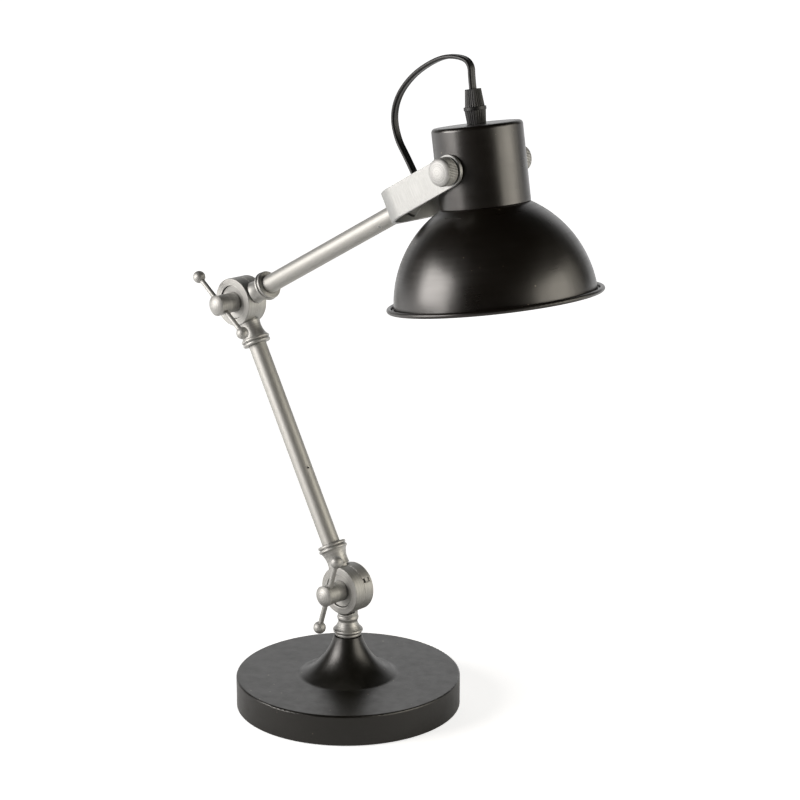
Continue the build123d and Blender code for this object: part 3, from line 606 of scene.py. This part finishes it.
@dataclass
class FlexLoop:
    """Flat twin flex from the yoke's stud to the cord grip."""

    width: float = 0.0058
    thickness: float = 0.0029
    length: float = 0.1684
    lobe_turn: float = 118.0
    lobe_steps: int = 10
    route_order: int = 3
    route_steps: int = 12
    route: tuple[Point, ...] = (
        (0.0606, 0.0, 0.3689),
        (0.0663, 0.0, 0.3720),
        (0.0688, 0.0, 0.3806),
        (0.0620, 0.0, 0.3914),
        (0.0558, 0.0, 0.4006),
        (0.0484, 0.0, 0.4106),
        (0.0445, 0.0, 0.4249),
        (0.0486, 0.0, 0.4392),
        (0.0599, 0.0, 0.4522),
        (0.0740, 0.0, 0.4616),
        (0.0900, 0.0, 0.4684),
        (0.1054, 0.0, 0.4684),
        (0.1113, 0.0, 0.4641),
        (0.1117, 0.0, 0.4563),
        (0.1128, 0.0, 0.4491),
    )

    def line(self) -> list[Vector]:
        """Read the flex's middle line from its spline.

        Returns:
            Points along the spline.
        """
        curve = bpy.data.curves.new("flex_route", "CURVE")
        curve.dimensions = "3D"
        curve.resolution_u = self.route_steps
        spline = curve.splines.new("NURBS")
        spline.points.add(len(self.route) - 1)
        for point, place in zip(spline.points, self.route):
            point.co = (*place, 1.0)
        spline.order_u = self.route_order
        spline.use_endpoint_u = True
        holder = bpy.data.objects.new("flex_route", curve)
        bpy.context.scene.collection.objects.link(holder)
        mesh = bpy.data.meshes.new_from_object(holder)
        points = [vertex.co.copy() for vertex in mesh.vertices]
        bpy.data.objects.remove(holder)
        bpy.data.curves.remove(curve)
        bpy.data.meshes.remove(mesh)
        return points

    def section(self) -> list[tuple[float, float]]:
        """Outline of the twin flex: two round cores and the groove between them.

        Returns:
            (across, out) offsets in order round the section.
        """
        radius = self.thickness / 2
        centre = self.width / 2 - radius
        corners = []
        for side in (1, -1):
            for step in range(self.lobe_steps + 1):
                turn = side * radians(self.lobe_turn * (2 * step / self.lobe_steps - 1))
                across = side * (centre + radius * cos(turn))
                corners.append((across, radius * sin(turn)))
        return corners

    def build(self, material: bpy.types.Material) -> bpy.types.Object:
        """Make the flex, hide the CAD cord it stands in for and fix its mesh in place.

        Args:
            material: Finish of the flex.

        Returns:
            The flex.
        """
        points = self.line()
        section = self.section()
        shape = bmesh.new()
        rings = []
        for index, point in enumerate(points):
            before = points[max(index - 1, 0)]
            after = points[min(index + 1, len(points) - 1)]
            tangent = (after - before).normalized()
            out = Vector((tangent.z, 0.0, -tangent.x))
            ring = [shape.verts.new(point + Vector((0, u, 0)) + out * v) for u, v in section]
            rings.append(ring)
        skin(shape, rings)
        shape.faces.new(list(reversed(rings[0])))
        shape.faces.new(rings[-1])
        piece = as_piece(shape, "flex_loop", material)
        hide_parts("cord_loop")
        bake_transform(piece)
        return piece


@dataclass
class ThumbKnob:
    """Thumb screw with a knurled band, a low crowned end and its shank."""

    side: Side
    pivot: Point
    ridges: int
    radius: float = 0.0092
    shank_radius: float = 0.003
    shank_end: float = 0.0217
    seat: float = 0.03255
    band: float = 0.0074
    land: float = 0.0008
    crown: float = 0.0027
    crown_steps: int = 9
    ridge_depth: float = 0.0004
    ridge_steps: int = 6
    merge_gap: float = 1e-7

    def profile(self) -> list[tuple[float, float, bool]]:
        """Give the outline that is turned round the hinge axis.

        Returns:
            (distance from the lamp's plane, radius, ridged or not) from the shank's end to the crown.
        """
        smooth = self.radius - self.ridge_depth
        front = self.seat + self.band
        rows = [
            (self.shank_end, 0.0, False),
            (self.shank_end, self.shank_radius, False),
            (self.seat, self.shank_radius, False),
            (self.seat, smooth, False),
            (self.seat + self.land, smooth, False),
            (self.seat + self.land, self.radius, True),
            (front - self.land, self.radius, True),
            (front - self.land, smooth, False),
        ]
        for step in range(self.crown_steps + 1):
            turn = pi / 2 * step / self.crown_steps
            rows.append((front + self.crown * sin(turn), smooth * cos(turn), False))
        return rows

    def ring(self, distance: float, radius: float, ridged: bool) -> list[Vector]:
        """Give the points of one turned row.

        Args:
            distance: How far it lies from the lamp's plane.
            radius: Its radius, over the ridges where it has them.
            ridged: Whether it has ridges.

        Returns:
            Points in order round the hinge axis.
        """
        count = self.ridges * self.ridge_steps
        centre = Vector(self.pivot) + self.side.value * distance * Vector(HINGE)
        points = []
        for index in range(count):
            turn = tau * index / count
            groove = self.ridge_depth * (1 + sin(self.ridges * turn)) / 2 if ridged else 0.0
            reach = radius - groove
            points.append(centre + reach * Vector((cos(turn), 0.0, sin(turn))))
        return points

    def build(self, material: bpy.types.Material) -> bpy.types.Object:
        """Make the thumb screw and let it turn with its body.

        Args:
            material: Finish of the thumb screw.

        Returns:
            The thumb screw.
        """
        shape = bmesh.new()
        rings = [[shape.verts.new(point) for point in self.ring(*row)] for row in self.profile()]
        skin(shape, rings)
        bmesh.ops.remove_doubles(shape, verts=shape.verts, dist=self.merge_gap)
        piece = as_piece(shape, f"{self.side.label}_thumb_knob", material)
        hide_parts(f"{self.side.label}_thumb_screw")
        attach(piece, f"{self.side.label}_thumb")
        return piece


def bearing(degrees: float) -> Point:
    """Give the direction in the lamp's own plane at an angle from +X towards +Z."""
    return (cos(radians(degrees)), 0.0, sin(radians(degrees)))


@dataclass
class Wardrobe:
    """Gives finishes to the carried-over nodes."""

    nodes: dict[str, bpy.types.Object]
    effects: Effects

    def dress(self, finish: Finish, *names: str) -> None:
        """Give nodes a finish.

        Args:
            finish: The finish.
            names: Node names.
        """
        material = finish.build(self.effects)
        for name in names:
            mesh = self.nodes[name].data
            mesh.materials.clear()
            mesh.materials.append(material)
            LOG.info("%s: %s", name, finish.name)


@dataclass
class Base:
    """Weighted base with its trumpet, collar and stem."""

    wardrobe: Wardrobe
    black: Colour = (0.0032, 0.0028, 0.0014)
    sheen: float = 0.35

    def build(self) -> None:
        """Dress the base."""
        dress = self.wardrobe.dress
        paint = SatinPaint(
            "base_paint", self.black, self.sheen,
            grain=650.0, height=0.22, mottle=150.0, marks=0.02, blotch=0.08, shine=0.74,
        )
        dress(paint, "base_shell")
        dress(MattSolid("cast_iron", IRON, roughness=0.7, metal=0.6), "base_weight")
        dress(MattSolid("felt", FELT, roughness=0.95, sheen=0.3), "base_pad")
        dress(MattSolid("bushing_plastic", PLASTIC, roughness=0.45), "inlet_bushing")
        dress(
            SatinNickel("nickel_upright", NICKEL, SATIN),
            "seat_ring", "base_collar", "stem_nipple", "stem_washer", "stem_nut",
        )


@dataclass
class Knuckle:
    """Clamped hinge with its T-key."""

    wardrobe: Wardrobe
    name: str
    centre: Point

    def build(self) -> None:
        """Dress both halves, the washers, the stop pin and the key."""
        pieces = (
            "rear_cheek", "front_cheek", "cup_washer", "stop_pin",
            "key_bolt", "key_bar", "key_ball_top", "key_ball_foot",
        )
        turned = SatinNickel(
            f"nickel_{self.name}_hinge", NICKEL, TURNED, HINGE, self.centre, mark_scale=1400.0, contrast=0.16
        )
        self.wardrobe.dress(turned, *(f"{self.name}_{piece}" for piece in pieces))
        fibre = MattSolid(f"{self.name}_fibre", FIBRE, roughness=0.8)
        self.wardrobe.dress(fibre, f"{self.name}_friction_washer")


@dataclass
class Arm:
    """Tube with the turned couplings at its ends."""

    wardrobe: Wardrobe
    name: str
    root: Point
    lean: float
    couplings: tuple[str, ...]

    def build(self) -> None:
        """Dress the tube and its couplings."""
        axis = bearing(self.lean)
        turned = SatinNickel(f"nickel_{self.name}_arm", NICKEL, SATIN, axis, self.root)
        self.wardrobe.dress(turned, *self.couplings)
        brushed = SatinNickel(
            f"nickel_{self.name}_tube", TUBE_NICKEL, BRUSHED, axis, self.root,
            marks=0.05, mark_scale=6000.0, contrast=0.10,
        )
        self.wardrobe.dress(brushed, f"{self.name}_arm_tube")


@dataclass
class Head:
    """Yoke, shade with its lampholder, thumb screws, cord grip and flex."""

    wardrobe: Wardrobe
    pivot: Point = SHADE_HINGE
    arm_lean: float = UPPER_LEAN
    shade_lean: float = SHADE_LEAN
    black: Colour = (0.0032, 0.0019, 0.0006)
    sheen: float = 0.32
    thumb_ridges: int = 56

    def build(self) -> None:
        """Dress the head, make its thumb screws and lay the flex."""
        dress = self.wardrobe.dress
        dress(
            SatinPaint("shade_paint", self.black, self.sheen, bearing(self.shade_lean), self.pivot),
            "shade_neck", "shade_dome",
        )
        plated = SatinNickel(
            "nickel_yoke", YOKE_NICKEL, SATIN, bearing(self.arm_lean), self.pivot, contrast=0.07
        )
        dress(plated, "yoke", "yoke_stud", "yoke_ring", "yoke_grub_screw")
        thumb = SatinNickel(
            "nickel_thumb", THUMB_NICKEL, BLASTED, HINGE, self.pivot, ridges=self.thumb_ridges
        )
        knurled = thumb.build(self.wardrobe.effects)
        for side in Side:
            knob = ThumbKnob(side, self.pivot, self.thumb_ridges).build(knurled)
            LOG.info("%s: %s", knob.name, thumb.name)
        dress(
            SatinNickel("nickel_pivot", NICKEL, SATIN, HINGE, self.pivot), "near_thumb_washer",
            "far_thumb_washer", "near_pivot_bush", "far_pivot_bush", "grip_nipple", "grip_nut",
        )
        dress(MattSolid("black_plastic", PLASTIC, roughness=0.45), "grip_body", "grip_cap", "shade_ring")
        dress(MattSolid("insulator", INSULATOR, roughness=0.5), "lampholder_body")
        dress(SatinNickel("brass", BRASS, roughness=0.25), "lampholder_shell", "lampholder_contact")
        sheath = MattSolid("flex_sheath", PLASTIC, roughness=0.38, height=0.05)
        flex = FlexLoop().build(sheath.build(self.wardrobe.effects))
        LOG.info("%s: %s", flex.name, sheath.name)


@dataclass(frozen=True)
class Softbox:
    """One rectangular light, with its width and height, its power in watts and its colour."""

    name: str
    place: Point
    size: tuple[float, float]
    power: float
    colour: Colour

    def hang(self, target: Point) -> None:
        """Hang the light.

        Args:
            target: What it points at.
        """
        data = bpy.data.lights.new(self.name, "AREA")
        data.shape = "RECTANGLE"
        data.size, data.size_y = self.size
        data.energy = self.power
        data.color = self.colour
        lamp = bpy.data.objects.new(self.name, data)
        lamp.location = self.place
        aim = Vector(target) - Vector(self.place)
        lamp.rotation_euler = aim.to_track_quat("-Z", "Y").to_euler()
        bpy.context.scene.collection.objects.link(lamp)


@dataclass
class Studio:
    """Floor, backdrop, lights and camera."""

    eye: Point = (1.03237, -1.07521, 0.62643)
    tilt: float = 1.307280
    heading: float = 0.740192
    lens: float = 100.236
    sensor: float = 36.0
    view_end: float = 100.0
    floor_side: float = 30.0
    floor_grey: float = 0.85
    floor_roughness: float = 0.9
    floor_shine: float = 0.1
    near_glow: float = 0.72
    glow_reach: Span = (0.35, 1.6)
    mirror_reach: Span = (-0.25, 0.5)
    room_light: float = 0.01
    backdrop_turn: Span = (0.62, 0.92)
    target: Point = (0.04, 0.0, 0.24)
    softboxes: tuple[Softbox, ...] = (
        Softbox("left", (-0.789, -1.295, 0.685), (1.16, 0.88), 26.0, (1.0, 0.965, 0.935)),
        Softbox("right", (1.52, 0.49, 0.52), (1.25, 0.95), 10.0, (1.0, 0.945, 0.835)),
        Softbox("fill", (1.26, 0.934, 0.66), (1.30, 0.70), 3.5, (1.0, 0.945, 0.835)),
    )

    def floor(self) -> None:
        """Lay the pale floor, which glows like the white backdrop where it is seen."""
        mesh = bpy.data.meshes.new("floor")
        half = self.floor_side / 2
        corners = [(-half, -half, 0), (half, -half, 0), (half, half, 0), (-half, half, 0)]
        mesh.from_pydata(corners, [], [(0, 1, 2, 3)])
        plane = bpy.data.objects.new("floor", mesh)
        bpy.context.scene.collection.objects.link(plane)
        material = bpy.data.materials.new("floor")
        material.use_nodes = True
        sheet = NodeSheet(material.node_tree)
        shader = material.node_tree.nodes["Principled BSDF"]
        grey = self.floor_grey
        shader.inputs["Base Color"].default_value = (grey, grey, grey, 1.0)
        shader.inputs["Roughness"].default_value = self.floor_roughness
        shader.inputs["Specular IOR Level"].default_value = self.floor_shine
        shader.inputs["Emission Color"].default_value = WHITE
        place = sheet.add("TexCoord")
        reach = sheet.add("VectorMath", operation="LENGTH")
        sheet.join(place.outputs["Object"], reach.inputs[0])
        glow = sheet.ramp(reach.outputs["Value"], self.glow_reach, (self.near_glow, 1.0))
        behind = sheet.ramp(self.toward_backdrop(sheet, place.outputs["Object"]), self.mirror_reach, RISE)
        path = sheet.add("LightPath")
        mirrored = sheet.math("ADD", path.outputs["Is Glossy Ray"], path.outputs["Is Transmission Ray"])
        seen = sheet.math("MULTIPLY_ADD", mirrored, behind, path.outputs["Is Camera Ray"])
        sheet.join(sheet.math("MULTIPLY", seen, glow), shader.inputs["Emission Strength"])
        mesh.materials.append(material)

    def toward_backdrop(self, sheet: NodeSheet, place: bpy.types.NodeSocket) -> bpy.types.NodeSocket:
        """Measure a vector along the way from the camera to the backdrop.

        Args:
            sheet: Sheet to add the nodes to.
            place: The vector.

        Returns:
            Its length that way.
        """
        node = sheet.add("VectorMath", operation="DOT_PRODUCT")
        node.inputs[1].default_value = (-sin(self.heading), cos(self.heading), 0.0)
        sheet.join(place, node.inputs[0])
        return node.outputs["Value"]

    def world(self) -> None:
        """Dark room with a white backdrop behind the lamp."""
        world = bpy.data.worlds.new("surround")
        world.use_nodes = True
        bpy.context.scene.world = world
        sheet = NodeSheet(world.node_tree)
        background = world.node_tree.nodes["Background"]
        background.inputs["Color"].default_value = WHITE
        place = sheet.add("TexCoord")
        behind = self.toward_backdrop(sheet, place.outputs["Generated"])
        lit = sheet.ramp(behind, self.backdrop_turn, (self.room_light, 1.0))
        path = sheet.add("LightPath")
        strength = sheet.math("MAXIMUM", lit, path.outputs["Is Camera Ray"])
        sheet.join(strength, background.inputs["Strength"])

    def camera(self) -> None:
        """Place the camera at the photograph's angle."""
        data = bpy.data.cameras.new("camera")
        data.lens = self.lens
        data.sensor_width = self.sensor
        data.clip_end = self.view_end
        holder = bpy.data.objects.new("camera", data)
        holder.location = self.eye
        holder.rotation_euler = Euler((self.tilt, 0.0, self.heading))
        bpy.context.scene.collection.objects.link(holder)
        bpy.context.scene.camera = holder

    def build(self) -> None:
        """Set the whole studio up."""
        self.floor()
        self.world()
        for softbox in self.softboxes:
            softbox.hang(self.target)
        self.camera()


def main() -> None:
    """Build the lamp and its studio."""
    logging.basicConfig(level=logging.INFO)
    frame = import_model()
    wardrobe = Wardrobe(frame["nodes"], Effects())
    Base(wardrobe).build()
    Knuckle(wardrobe, "lower", LOWER_HINGE).build()
    Arm(wardrobe, "lower", LOWER_HINGE, LOWER_LEAN, ("lower_coupling", "mid_coupling")).build()
    Knuckle(wardrobe, "upper", UPPER_HINGE).build()
    Arm(wardrobe, "upper", UPPER_HINGE, UPPER_LEAN, ("upper_coupling",)).build()
    Head(wardrobe).build()
    Studio().build()
    bpy.context.scene.view_settings.view_transform = "Standard"


if __name__ == "__main__":
    main()
